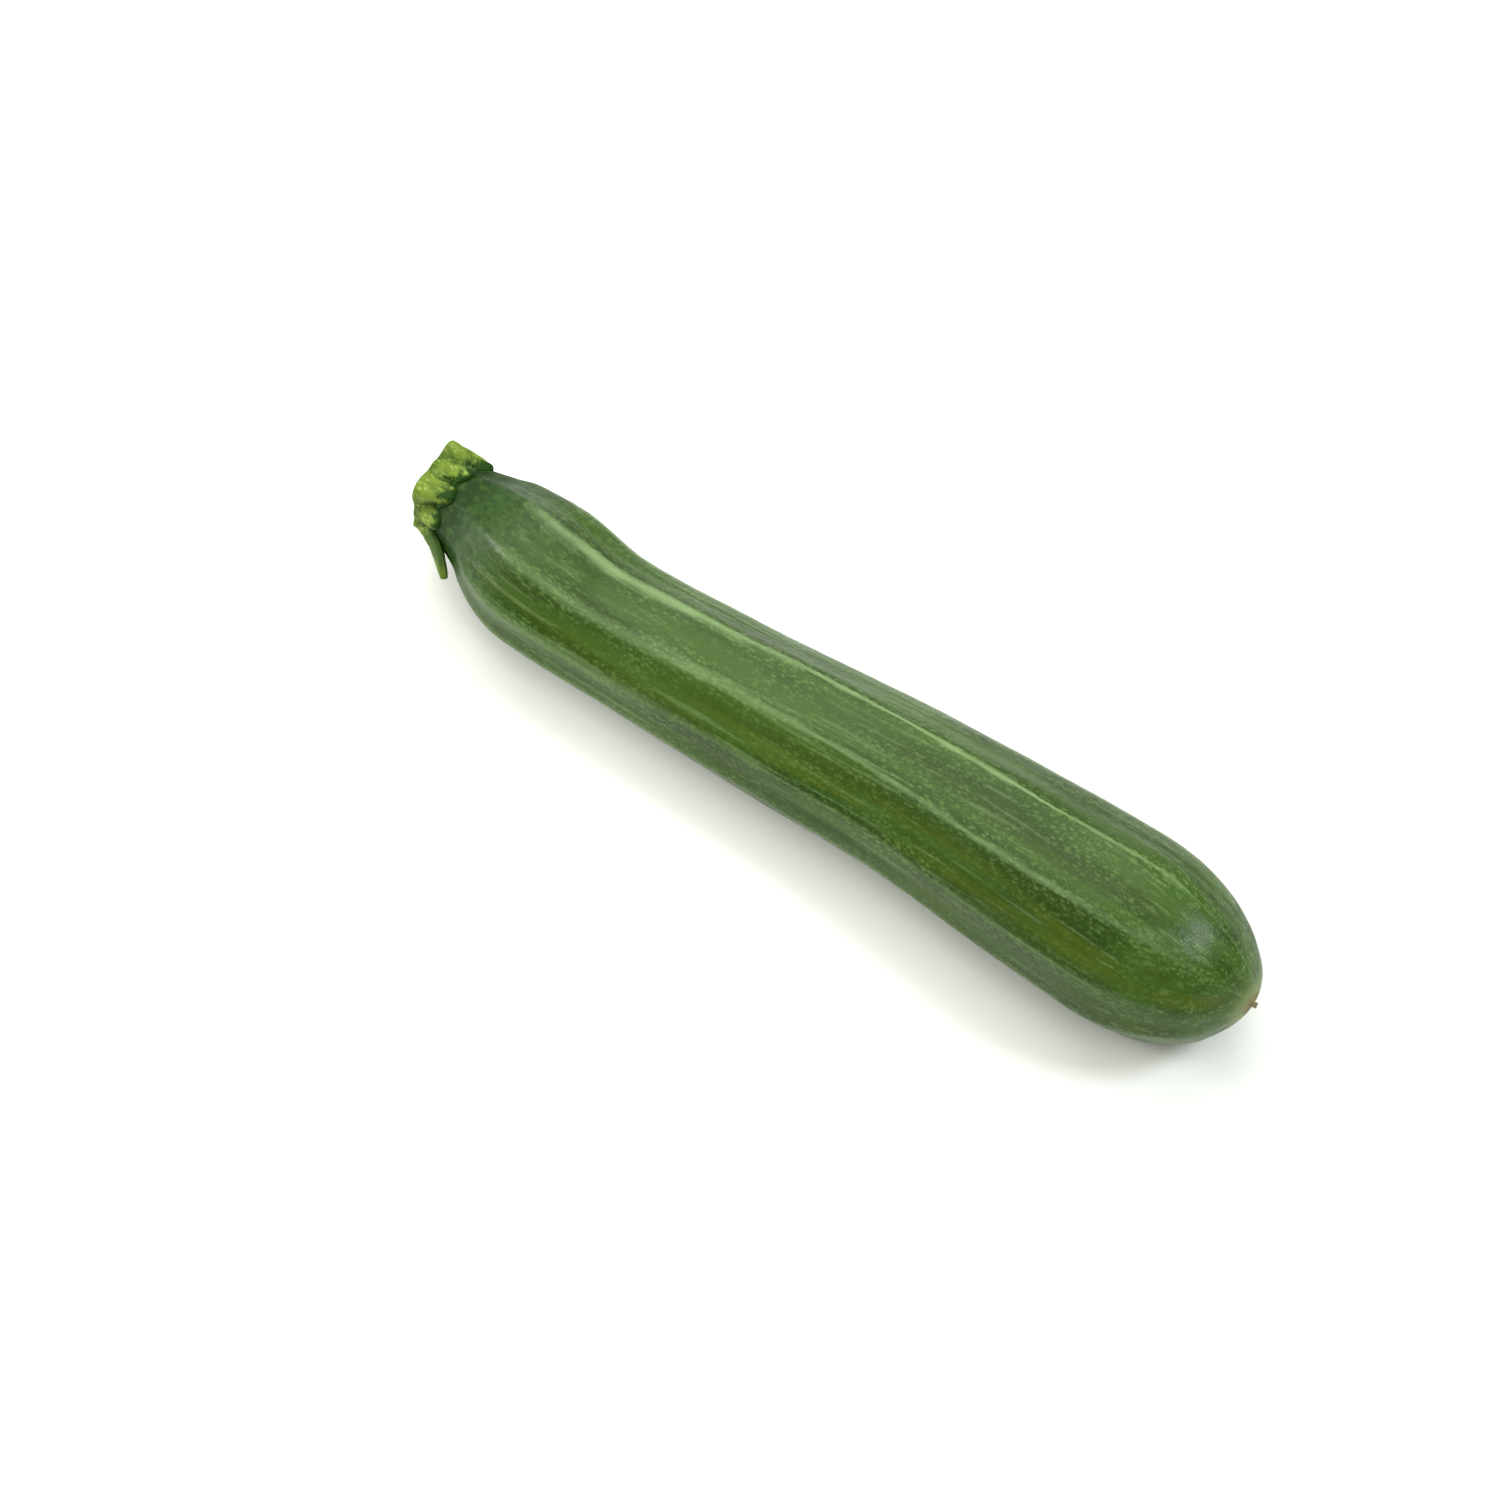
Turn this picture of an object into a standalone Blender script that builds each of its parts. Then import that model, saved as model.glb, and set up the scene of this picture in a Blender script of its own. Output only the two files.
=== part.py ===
"""A zucchini lying on its belly: the ridged fruit and the cut stub of its stem.

It lies along X with the stem towards -X and the blossom end towards +X. +Z is up, and z = 0
is the surface that it lies on. Distances along the zucchini run from a plane just before the
end of the cut stem. Angles round it run from straight up towards -Y. Units are metres and degrees.
"""

from math import acos, cos, floor, hypot, pi, radians, sin, sqrt

import bmesh
import bpy
from mathutils import Vector

# Driving dimensions along the zucchini
FRUIT_START = 0.0074
NECK_ROUNDING = 0.0024
SHOULDER_AT = 0.0360
WIDEST_AT = 0.1800
FRUIT_END = 0.2120
SCAR_HEIGHT = 0.0011
SCAR_RADIUS = 0.0030
SCAR_TOP_RADIUS = 0.0009

# Radius to the top of the ridges, at distances along the zucchini
RADIUS_AT = (
    (0.0074, 0.0090),
    (0.0115, 0.0099),
    (0.0175, 0.0118),
    (0.0210, 0.0134),
    (0.0255, 0.0149),
    (0.0300, 0.0160),
    (0.0360, 0.0167),
    (0.0520, 0.0156),
    (0.0750, 0.0161),
    (0.1030, 0.0170),
    (0.1310, 0.0180),
    (0.1570, 0.0194),
    (0.1800, 0.0203),
    (0.2120, 0.0203),
)

# Sideways place of the middle line, towards +Y
SIDEWAYS_AT = (
    (0.0000, 0.0016),
    (0.0200, 0.0002),
    (0.0370, -0.0033),
    (0.0650, -0.0042),
    (0.1000, -0.0038),
    (0.1320, -0.0033),
    (0.1650, -0.0051),
    (0.2120, -0.0086),
)
TIP_SHIFT = Vector((0.0, 0.0024, -0.0010))
TIP_SHIFT_POWER = 7
END_BLUNTNESS = 2.06

# The flat on the belly that it rests on, under its weight
BELLY_MIDDLE = 0.1300
BELLY_HALF_LENGTH = 0.0450
BELLY_PRESSED = 0.00035

# Ridges round the fruit: the even ones are the strong ones that run on into the stem's ribs
RIDGE_ANGLES = (27.0, 68.0, 100.0, 131.0, 162.0, 198.0, 233.0, 269.0, 304.0, 344.0)
RIDGE_HEIGHTS = (1.0, 0.992, 1.0, 0.990, 1.0, 0.996, 1.0, 0.992, 1.0, 0.994)
RIDGE_SHARPNESS = 0.10
FURROW_DEPTH_AT = (
    (0.0074, 0.070),
    (0.0450, 0.056),
    (0.0950, 0.046),
    (0.1650, 0.042),
    (0.2000, 0.034),
    (0.2120, 0.020),
)
RIDGE_WANDER = 3.0
RIDGE_WANDER_LENGTH = 0.120

# The stem: ribs over the ridges, strong and weak by turns, with blunt feet that lie on the neck
STEM_RIB_RADIUS = 0.0112
STEM_FURROW_RADIUS = 0.0082
STEM_TWIST = 14.0
STEM_FLARE_POWER = 1.5
RIB_NARROWNESS = 1.3
WEAK_RIB_AT_CUT = 0.25
WEAK_RIB_AT_FOOT = 0.80
FOOT_REACH = 0.0110
FURROW_REACH = 0.0088
FOOT_EDGE = 0.0010
FURROW_EDGE = 0.0004
FOOT_BLUNTNESS = 0.6
GAP = 0.0003

# The cut through the stem: where its middle is, how much it slants, and the side it slants to
CUT_PLACE = 0.0028
CUT_SLANT = 0.0018
CUT_SLANT_ANGLE = 126.0

# The foot of one rib has come loose and stands off the neck as a pointed strip
STRIP_ANGLE = 100.0
STRIP_HALF_WIDTH = 17.0
STRIP_LONGER = 0.0072
STRIP_LIFT = 0.0024
STRIP_FLARE_POWER = 1.0
STRIP_LOOSE_FROM = 0.55

# Fineness of the solids
STEPS_PER_RIDGE = 8
BODY_RINGS = 30
RING_CROWDING = 0.35
CAP_RINGS = 8
NECK_RINGS = 5
SCAR_RING_RADII = (0.0027, 0.0021, 0.0015, 0.0008)
STEM_RINGS = 9
FOOT_RINGS = 9
CUT_RING_PARTS = (0.4, 0.8)
SHARP_ANGLE = radians(50)
MERGE_DISTANCE = 0.00001

# Finishes of the two pieces
FRUIT_COLOUR = (0.075, 0.140, 0.042)
FRUIT_ROUGHNESS = 0.45
STEM_COLOUR = (0.190, 0.300, 0.055)
STEM_ROUGHNESS = 0.65


def slope_at(points, i):
    """Slope of the smooth curve at one of its points."""
    before = points[max(i - 1, 0)]
    after = points[min(i + 1, len(points) - 1)]
    return (after[1] - before[1]) / (after[0] - before[0])


def smooth(points, distance):
    """Value at a distance on the smooth curve through (distance, value) points."""
    i = 0
    while i < len(points) - 2 and distance > points[i + 1][0]:
        i += 1
    x0, y0 = points[i]
    x1, y1 = points[i + 1]
    span = x1 - x0
    t = min(max((distance - x0) / span, 0.0), 1.0)
    start = (1 + 2 * t) * (1 - t) ** 2 * y0 + t * (1 - t) ** 2 * span * slope_at(points, i)
    end = t * t * (3 - 2 * t) * y1 - t * t * (1 - t) * span * slope_at(points, i + 1)
    return start + end


def ease(t):
    """Smooth step from 0 to 1."""
    t = min(max(t, 0.0), 1.0)
    return t * t * (3 - 2 * t)


def centre(distance):
    """Middle line of the zucchini, without the shift of the tip."""
    middle = min(max(distance, SHOULDER_AT), WIDEST_AT)
    below = smooth(RADIUS_AT, middle) * (1 - smooth(FURROW_DEPTH_AT, middle))
    off_middle = (distance - BELLY_MIDDLE) / BELLY_HALF_LENGTH
    height = below - BELLY_PRESSED * (1 - off_middle**2)
    return Vector((distance, smooth(SIDEWAYS_AT, distance), height))


def directions(distance):
    """Unit vectors along the middle line, up from it, and from it towards -Y."""
    step = 0.0005
    along = (centre(distance + step) - centre(distance - step)).normalized()
    up = Vector((0, 0, 1)) - along * along.z
    up.normalize()
    return along, up, along.cross(up)


def tip_shift(distance):
    """The blossom end leans to one side, so that its scar is off the middle line."""
    past = max(distance - WIDEST_AT, 0.0) / (FRUIT_END - WIDEST_AT)
    return TIP_SHIFT * min(past, 1.0) ** TIP_SHIFT_POWER


def point_at(distance, radius, angle):
    """Point at a radius and an angle round the middle line."""
    _, up, side = directions(distance)
    outward = up * cos(radians(angle)) + side * sin(radians(angle))
    return centre(distance) + tip_shift(distance) + outward * radius


def angle_at_position(position):
    """The angle that lies a number of ridges past the first one."""
    count = len(RIDGE_ANGLES)
    i = floor(position)
    start = RIDGE_ANGLES[i % count]
    width = (RIDGE_ANGLES[(i + 1) % count] - start) % 360
    return start + width * (position - i)


def ridge_factor(distance, position):
    """Part of the full radius that the skin has between and on the ridges."""
    i = floor(position)
    t = position - i
    from_ridge = min(t, 1 - t)
    rounded = sqrt(from_ridge**2 + RIDGE_SHARPNESS**2) - RIDGE_SHARPNESS
    hollow = 4 * rounded * (1 - rounded)
    count = len(RIDGE_HEIGHTS)
    here = RIDGE_HEIGHTS[i % count]
    there = RIDGE_HEIGHTS[(i + 1) % count]
    crest = here + (there - here) * ease(t)
    return crest * (1 - smooth(FURROW_DEPTH_AT, distance) * hollow)


def wander(distance):
    """Degrees that the ridges are turned by, because they don't run quite straight."""
    return RIDGE_WANDER * sin(2 * pi * (distance - BELLY_MIDDLE) / RIDGE_WANDER_LENGTH)


def skin_point(distance, radius, position):
    """Point of the fruit's ridged skin."""
    angle = angle_at_position(position) + wander(distance)
    return point_at(distance, radius * ridge_factor(distance, position), angle)


def neck_profile(q):
    """Distance and radius of the fruit near the stem: q is 0 at its middle, 1 past its rounding."""
    turn = pi / 2 * min(q, 1.0)
    past = pi / 2 * NECK_ROUNDING * max(q - 1.0, 0.0)
    distance = FRUIT_START + NECK_ROUNDING * (1 - cos(turn)) + past
    return distance, smooth(RADIUS_AT, distance) * sin(turn)


def neck_q(distance):
    """The q of neck_profile at a distance along the zucchini."""
    along = (distance - FRUIT_START) / NECK_ROUNDING
    if along < 1:
        return acos(1 - along) / (pi / 2)
    return 1 + (along - 1) / (pi / 2)


def scar_rise(radius):
    """Height of the blossom scar at a radius round the tip."""
    return SCAR_HEIGHT * ease((SCAR_RADIUS - radius) / (SCAR_RADIUS - SCAR_TOP_RADIUS))


def fruit_profile():
    """Distances and radii of the fruit's rings, from the stem to the tip."""
    rings = [neck_profile((k + 1) / NECK_RINGS) for k in range(NECK_RINGS)]
    body_start = FRUIT_START + NECK_ROUNDING
    for k in range(1, BODY_RINGS):
        t = k / BODY_RINGS
        crowded = t - RING_CROWDING * t * (1 - t)
        distance = body_start + (WIDEST_AT - body_start) * crowded
        rings.append((distance, smooth(RADIUS_AT, distance)))
    for k in range(CAP_RINGS + 1):
        turn = pi / 2 * k / (CAP_RINGS + 1)
        distance = WIDEST_AT + (FRUIT_END - WIDEST_AT) * sin(turn) ** (2 / END_BLUNTNESS)
        radius = smooth(RADIUS_AT, distance) * cos(turn) ** (2 / END_BLUNTNESS)
        rings.append((distance, radius))
    for radius in SCAR_RING_RADII:
        rings.append((FRUIT_END + scar_rise(radius), radius))
    return rings


def closed_mesh(name, start, rings, end, material):
    """One closed object from a first point, rings of points and a last point."""
    mesh = bmesh.new()
    first = mesh.verts.new(start)
    loops = [[mesh.verts.new(p) for p in ring] for ring in rings]
    last = mesh.verts.new(end)
    count = len(rings[0])
    for i in range(count):
        j = (i + 1) % count
        mesh.faces.new((first, loops[0][i], loops[0][j]))
        mesh.faces.new((loops[-1][i], last, loops[-1][j]))
        for near, far in zip(loops, loops[1:]):
            mesh.faces.new((near[i], far[i], far[j], near[j]))
    bmesh.ops.recalc_face_normals(mesh, faces=mesh.faces)
    bmesh.ops.triangulate(mesh, faces=mesh.faces, quad_method="SHORT_EDGE")
    data = bpy.data.meshes.new(name)
    mesh.to_mesh(data)
    mesh.free()
    data.materials.append(material)
    made = bpy.data.objects.new(name, data)
    bpy.context.scene.collection.objects.link(made)
    return made


def cut_flat_belly(fruit):
    """Takes off the little that the fruit's weight presses flat, at z = 0."""
    mesh = bmesh.new()
    mesh.from_mesh(fruit.data)
    bmesh.ops.bisect_plane(
        mesh,
        geom=[*mesh.verts, *mesh.edges, *mesh.faces],
        dist=MERGE_DISTANCE,
        plane_co=(0, 0, 0),
        plane_no=(0, 0, 1),
        clear_inner=True,
    )
    rim = [edge for edge in mesh.edges if edge.is_boundary]
    bmesh.ops.edgeloop_fill(mesh, edges=rim)
    bmesh.ops.triangulate(mesh, faces=mesh.faces)
    bmesh.ops.recalc_face_normals(mesh, faces=mesh.faces)
    mesh.to_mesh(fruit.data)
    mesh.free()


def positions_round():
    """Places of the ring points, counted in ridges past the first one."""
    return [k / STEPS_PER_RIDGE for k in range(len(RIDGE_ANGLES) * STEPS_PER_RIDGE)]


def make_fruit(material):
    """The fruit with its ridges, rounded ends and blossom scar, and a flat on its belly."""
    rings = [
        [skin_point(distance, radius, position) for position in positions_round()]
        for distance, radius in fruit_profile()
    ]
    start = point_at(FRUIT_START, 0, 0)
    end = point_at(FRUIT_END + SCAR_HEIGHT, 0, 0)
    fruit = closed_mesh("fruit", start, rings, end, material)
    cut_flat_belly(fruit)
    return fruit


def strong_rib(position):
    """1 on a strong rib of the stem, 0 on a weak one."""
    return 0.5 + 0.5 * cos(radians(180 * position))


def any_rib(position):
    """1 on a strong or weak rib of the stem, 0 in the furrow between two ribs."""
    return 0.5 + 0.5 * cos(radians(360 * position))


def rib_at_cut(position):
    """Height of the ribs round the cut face, from 0 in the furrows to 1."""
    weak = WEAK_RIB_AT_CUT * any_rib(position) * (1 - strong_rib(position))
    return strong_rib(position) ** RIB_NARROWNESS + weak


def rib_at_foot(position):
    """Height of the ribs where they end on the fruit, from 0 in the furrows to 1."""
    weakness = (1 - WEAK_RIB_AT_FOOT) * (1 - strong_rib(position))
    return any_rib(position) * (1 - weakness)


def strip(angle):
    """1 in the middle of the loose strip of stem skin, 0 beside it."""
    off = abs((angle - STRIP_ANGLE + 180) % 360 - 180)
    return ease(1 - off / STRIP_HALF_WIDTH)


def stem_reach(position):
    """Distance along the zucchini of the end of the stem's side."""
    feet = (FOOT_REACH - FURROW_REACH) * rib_at_foot(position) ** FOOT_BLUNTNESS
    return FURROW_REACH + feet + STRIP_LONGER * strip(angle_at_position(position))


def stem_edge(position):
    """Thickness of the stem where its side ends."""
    return FURROW_EDGE + (FOOT_EDGE - FURROW_EDGE) * rib_at_foot(position)


def foot_point(position, part, clearance):
    """Distance, radius and angle just outside the fruit, a part of the way to the stem's end."""
    q = neck_q(stem_reach(position)) * part
    step = 0.02
    distance, radius = neck_profile(q)
    ahead, wider = neck_profile(q + step)
    run = ahead - distance
    rise = wider - radius
    away = clearance / hypot(run, rise)
    factor = ridge_factor(distance, position)
    angle = angle_at_position(position) + wander(distance)
    return distance - rise * away, radius * factor + run * away, angle


def stem_side_point(position, part):
    """Point on the stem's side: part is 0 at the cut face and 1 where the side ends."""
    foot_distance, foot_radius, foot_angle = foot_point(position, 1.0, GAP + stem_edge(position))
    angle = foot_angle + STEM_TWIST * (1 - part)
    peeled = strip(angle_at_position(position))
    width = (STEM_RIB_RADIUS - STEM_FURROW_RADIUS) * (1 - peeled)
    cut_radius = STEM_FURROW_RADIUS + width * rib_at_cut(position)
    flare = part ** (STEM_FLARE_POWER + (STRIP_FLARE_POWER - STEM_FLARE_POWER) * peeled)
    radius = cut_radius + (foot_radius - cut_radius) * flare
    slant = CUT_SLANT * cut_radius / STEM_RIB_RADIUS
    cut_turn = foot_angle + STEM_TWIST - CUT_SLANT_ANGLE
    cut_distance = CUT_PLACE + slant * cos(radians(cut_turn))
    distance = cut_distance + (foot_distance - cut_distance) * part
    return point_at(distance, radius + STRIP_LIFT * peeled * part, angle)


def stem_foot_point(position, part):
    """Point of the stem's underside, just clear of the fruit."""
    distance, radius, angle = foot_point(position, part, GAP)
    peeled = strip(angle_at_position(position))
    loose = ease((part - STRIP_LOOSE_FROM) / (1 - STRIP_LOOSE_FROM))
    return point_at(distance, radius + STRIP_LIFT * peeled * loose, angle)


def make_stem(material):
    """The cut stub of the stem with its ribs and their feet."""
    places = positions_round()
    start = point_at(CUT_PLACE, 0, 0)
    end = point_at(FRUIT_START - GAP, 0, 0)
    rim = [stem_side_point(p, 0) for p in places]
    cut_face = [[start.lerp(corner, part) for corner in rim] for part in CUT_RING_PARTS]
    side = [[stem_side_point(p, k / STEM_RINGS) for p in places] for k in range(STEM_RINGS + 1)]
    foot = [[stem_foot_point(p, k / FOOT_RINGS) for p in places] for k in range(FOOT_RINGS, 0, -1)]
    return closed_mesh("stem", start, cut_face + side + foot, end, material)


def plain_material(name, colour, roughness):
    """A material of one colour."""
    material = bpy.data.materials.new(name)
    material.use_nodes = True
    shader = material.node_tree.nodes["Principled BSDF"]
    shader.inputs["Base Color"].default_value = (*colour, 1.0)
    shader.inputs["Roughness"].default_value = roughness
    shader.inputs["Metallic"].default_value = 0.0
    return material


def centre_on_origin(objects):
    """Moves the middle of the whole zucchini's box onto x = 0 and y = 0."""
    corners = [vertex.co for item in objects for vertex in item.data.vertices]
    middle_x = (min(c.x for c in corners) + max(c.x for c in corners)) / 2
    middle_y = (min(c.y for c in corners) + max(c.y for c in corners)) / 2
    for item in objects:
        for vertex in item.data.vertices:
            vertex.co -= Vector((middle_x, middle_y, 0))


def main():
    """Empties the scene and makes the zucchini's two pieces."""
    for item in list(bpy.data.objects):
        bpy.data.objects.remove(item, do_unlink=True)
    fruit = make_fruit(plain_material("green_skin", FRUIT_COLOUR, FRUIT_ROUGHNESS))
    stem = make_stem(plain_material("pale_stem", STEM_COLOUR, STEM_ROUGHNESS))
    centre_on_origin((fruit, stem))
    for item in (fruit, stem):
        item.data.shade_smooth()
        item.data.set_sharp_from_angle(angle=SHARP_ANGLE)


main()
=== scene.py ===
"""The looks of a zucchini on a pale floor: its ridged fruit, its cut stem and the stem's hairs.

The fruit and the stem are shaped by the same measures as the solids, many times finer, and get
the relief and the patterned skin that the solids leave out. The zucchini lies along X with the
stem towards -X. Distances along it run from a plane just before the end of the cut stem. Angles
round it run from straight up towards -Y. Units are metres and degrees.
"""

import random
from math import acos, cos, floor, hypot, pi, radians, sin, sqrt

import bpy
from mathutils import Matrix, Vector, noise


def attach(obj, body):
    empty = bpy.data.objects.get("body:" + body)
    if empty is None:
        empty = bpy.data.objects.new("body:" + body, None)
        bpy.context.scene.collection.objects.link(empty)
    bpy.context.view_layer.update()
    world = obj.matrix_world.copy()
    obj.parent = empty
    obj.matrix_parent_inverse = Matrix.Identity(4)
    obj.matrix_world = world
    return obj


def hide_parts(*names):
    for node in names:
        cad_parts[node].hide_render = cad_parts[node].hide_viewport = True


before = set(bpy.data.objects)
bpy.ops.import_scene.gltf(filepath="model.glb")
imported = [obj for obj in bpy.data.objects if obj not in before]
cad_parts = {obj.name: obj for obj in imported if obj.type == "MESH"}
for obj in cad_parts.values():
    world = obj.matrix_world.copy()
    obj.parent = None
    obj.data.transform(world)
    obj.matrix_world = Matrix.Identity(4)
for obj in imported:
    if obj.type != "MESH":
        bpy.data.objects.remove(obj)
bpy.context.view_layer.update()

# Place of the solids' middle, which lies at x = 0 and y = 0, along and beside the zucchini
MIDDLE = Vector((0.107505, -0.005767, 0.0))

# Driving dimensions along the zucchini
FRUIT_START = 0.0074
NECK_ROUNDING = 0.0024
SHOULDER_AT = 0.0360
WIDEST_AT = 0.1800
FRUIT_END = 0.2120
SCAR_HEIGHT = 0.0011
SCAR_RADIUS = 0.0030
SCAR_TOP_RADIUS = 0.0009

# Radius to the top of the ridges, at distances along the zucchini
RADIUS_AT = (
    (0.0074, 0.0090),
    (0.0115, 0.0099),
    (0.0175, 0.0118),
    (0.0210, 0.0134),
    (0.0255, 0.0149),
    (0.0300, 0.0160),
    (0.0360, 0.0167),
    (0.0520, 0.0156),
    (0.0750, 0.0161),
    (0.1030, 0.0170),
    (0.1310, 0.0180),
    (0.1570, 0.0194),
    (0.1800, 0.0203),
    (0.2120, 0.0203),
)

# Sideways place of the middle line, towards +Y
SIDEWAYS_AT = (
    (0.0000, 0.0016),
    (0.0200, 0.0002),
    (0.0370, -0.0033),
    (0.0650, -0.0042),
    (0.1000, -0.0038),
    (0.1320, -0.0033),
    (0.1650, -0.0051),
    (0.2120, -0.0086),
)
TIP_SHIFT = Vector((0.0, 0.0024, -0.0010))
TIP_SHIFT_POWER = 7
END_BLUNTNESS = 2.06

# The flat on the belly that it rests on, under its weight
BELLY_MIDDLE = 0.1300
BELLY_HALF_LENGTH = 0.0450
BELLY_PRESSED = 0.00035

# Ridges round the fruit: the even ones are the strong ones that run on into the stem's ribs
RIDGE_ANGLES = (27.0, 68.0, 100.0, 131.0, 162.0, 198.0, 233.0, 269.0, 304.0, 344.0)
RIDGE_HEIGHTS = (1.0, 0.992, 1.0, 0.990, 1.0, 0.996, 1.0, 0.992, 1.0, 0.994)
# How pale each ridge's line is: its own pale colour and a painted sheen, strongest on the ridge at
# 344 degrees
RIDGE_PALENESS_AND_SHEEN = (0.44, 0.30, 0.40, 0.30, 0.50, 0.35, 0.45, 0.30, 0.50, 0.85)
FACET_OLIVE = (0.85, 0.30, 0.15, 0.45, 0.20, 0.50, 0.10, 0.35, 0.25, 0.20)
OLIVE_RISE = 0.55
OLIVE_FALL = 0.30
RIDGE_SHARPNESS = 0.10
FURROW_DEPTH_AT = (
    (0.0074, 0.070),
    (0.0450, 0.056),
    (0.0950, 0.046),
    (0.1650, 0.042),
    (0.2000, 0.034),
    (0.2120, 0.020),
)
RIDGE_WANDER = 3.0
RIDGE_WANDER_LENGTH = 0.120

# The stem: ribs over the ridges, strong and weak by turns, with blunt feet that lie on the neck
STEM_RIB_RADIUS = 0.0112
STEM_FURROW_RADIUS = 0.0082
STEM_TWIST = 14.0
STEM_FLARE_POWER = 1.5
RIB_NARROWNESS = 1.3
WEAK_RIB_AT_CUT = 0.25
WEAK_RIB_AT_FOOT = 0.80
FOOT_REACH = 0.0110
FURROW_REACH = 0.0088
FOOT_EDGE = 0.0013
FURROW_EDGE = 0.0007
FOOT_BLUNTNESS = 0.6

# The cut through the stem: where its middle is, how much it slants, and the side it slants to
CUT_PLACE = 0.0028
CUT_SLANT = 0.0018
CUT_SLANT_ANGLE = 126.0

# The foot of one rib has come loose and stands off the neck as a pointed strip
STRIP_ANGLE = 100.0
STRIP_HALF_WIDTH = 17.0
STRIP_LONGER = 0.0072
STRIP_LIFT = 0.0024
STRIP_FLARE_POWER = 1.0
STRIP_LOOSE_FROM = 0.55

# Fineness of the pieces
STEPS_PER_RIDGE = 24
BODY_RINGS = 320
CAP_RINGS = 56
NECK_RINGS = 8
SCAR_RINGS = 12
CUT_RINGS = 26
CORNER_RINGS = 5
STEM_RINGS = 44
EDGE_RINGS = 6
FOOT_RINGS = 20

# Relief of the fruit: heights, and sizes of the lumps along and across the skin
LUMP_HEIGHT = 0.00022
LUMP_LENGTH = 0.016
LUMP_WIDTH = 0.009
CREASE_HEIGHT = 0.00007
CREASE_LENGTH = 0.022
CREASE_WIDTH = 0.0020
DIMPLE_HEIGHT = 0.00004
DIMPLE_SIZE = 0.0016
RELIEF_FROM = 0.0150
RELIEF_FULL = 0.0240
SCAR_GRAIN_HEIGHT = 0.00016
SCAR_GRAIN_SIZE = 0.0006
SCAR_RING_RADIUS = 0.00135
SCAR_RING_DEPTH = 0.00018
SCAR_RING_WIDTH = 0.0004

# Relief of the stem
STEM_SINK = 0.00012
STEM_CORNER = 0.00045
FOOT_ROUNDING = 0.0009
FIBRE_HEIGHT = 0.00010
FIBRE_LENGTH = 0.007
FIBRE_WIDTH = 0.0009
KNOB_HEIGHT = 0.00016
KNOB_SIZE = 0.0017
SIDE_RELIEF_START = 0.08
SIDE_RELIEF_END = 1.05
SIDE_RELIEF_FADE = 0.15
CUT_HOLLOW = 0.00030
CUT_HOLLOW_RISE = 0.3
CUT_LIP = 0.00025
CUT_LIP_PLACE = 0.93
CUT_LIP_WIDTH = 0.07
BUNDLE_HEIGHT = 0.00016
BUNDLE_PLACE = 0.60
BUNDLE_SIZE = 0.10
BUNDLES = 10

# The part of the stem's side that its rounded corner takes
CORNER_PART = 0.1

# Numbers stored over the stem's surface, from the middle of the cut face to under the neck
ZONE_CORNER = 0.96
ZONE_SIDE = 1.0
ZONE_EDGE = 2.0
ZONE_UNDER = 2.1
ZONE_END = 3.0

# The stem's flat map: the cut face is a disc, and the side and the underside are boxes, each with
# its left, its bottom, its width and its height
MAP_CUT_MIDDLE = 0.25
MAP_CUT_RADIUS = 0.23
MAP_SIDE = (0.01, 0.52, 0.98, 0.46)
MAP_UNDER = (0.52, 0.02, 0.46, 0.44)

# Hairs of the stem
HAIR_SEED = 7
HAIR_COUNT = 520
HAIR_PLACES = (0.04, 0.96)
HAIR_LENGTHS = (0.00045, 0.00110)
HAIR_RADIUS = 0.00005
HAIR_ROOT = 0.00010
HAIR_LEAN = 0.45

# Camera: it looks from this direction at a point beside the zucchini's middle
CAMERA_AZIMUTH = 35.0
CAMERA_ELEVATION = 58.0
CAMERA_DISTANCE = 0.9
CAMERA_LENS = 104.8
SENSOR_WIDTH = 36.0
LOOK_AT = Vector((-0.00265, 0.0, 0.0195))
AIM_RIGHT = -0.0122
AIM_UP = -0.0022

# Floor and light
FLOOR_SIZE = 4.0
FLOOR_DROP = 0.00005
FLOOR_COLOUR = (0.92, 0.92, 0.86)
# Painted shade: the floor darkens far from the zucchini, as the lamps' light falls off
FLOOR_FAR_SHADE = (0.40, 0.40, 0.40)
FLOOR_SHADE_FADE = (0.22, 1.20)
SKY_BRIGHT_SIDE = (200.0, 75.0)
SKY_TURN = 0.0
SKY_DIM = 0.25
SKY_BRIGHT = 0.58

# Lamps: azimuth, elevation, distance, width, power in watts and colour
LAMPS = {
    "side_lamp": (232.0, 58.0, 1.0, 0.95, 6.2, (1.0, 1.0, 1.0)),
    "back_lamp": (195.0, 42.0, 1.2, 0.90, 0.8, (1.0, 1.0, 1.0)),
    "end_lamp": (119.0, 49.0, 1.2, 0.32, 6.5, (0.86, 0.95, 1.0)),
    "front_lamp": (312.0, 44.0, 1.2, 0.50, 2.4, (1.0, 1.0, 1.0)),
    "stem_lamp": (292.0, 20.0, 0.42, 0.12, 0.7, (1.0, 1.0, 1.0)),
    "fill_lamp": (40.0, 68.0, 1.2, 0.50, 3.0, (1.0, 1.0, 1.0)),
}

# Colours of the skin
SKIN_DARK = (0.020, 0.051, 0.003)
SKIN_MIDDLE = (0.040, 0.092, 0.009)
SKIN_OLIVE = (0.066, 0.094, 0.003)
SKIN_FLECK = (0.134, 0.226, 0.050)
# Pale green of the streaks and the ridge lines; on the ridges it is partly a painted highlight
SKIN_LINE_AND_SHEEN = (0.275, 0.400, 0.165)
SKIN_SHOULDER = (0.018, 0.052, 0.008)
# Darkest green of the neck, also used as painted shade just behind the stem's feet
SKIN_NECK_AND_SHADE = (0.008, 0.031, 0.001)
SKIN_TIP = (0.150, 0.205, 0.035)
SCAR_TAN = (0.270, 0.235, 0.105)
SCAR_BROWN = (0.160, 0.132, 0.055)

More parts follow.
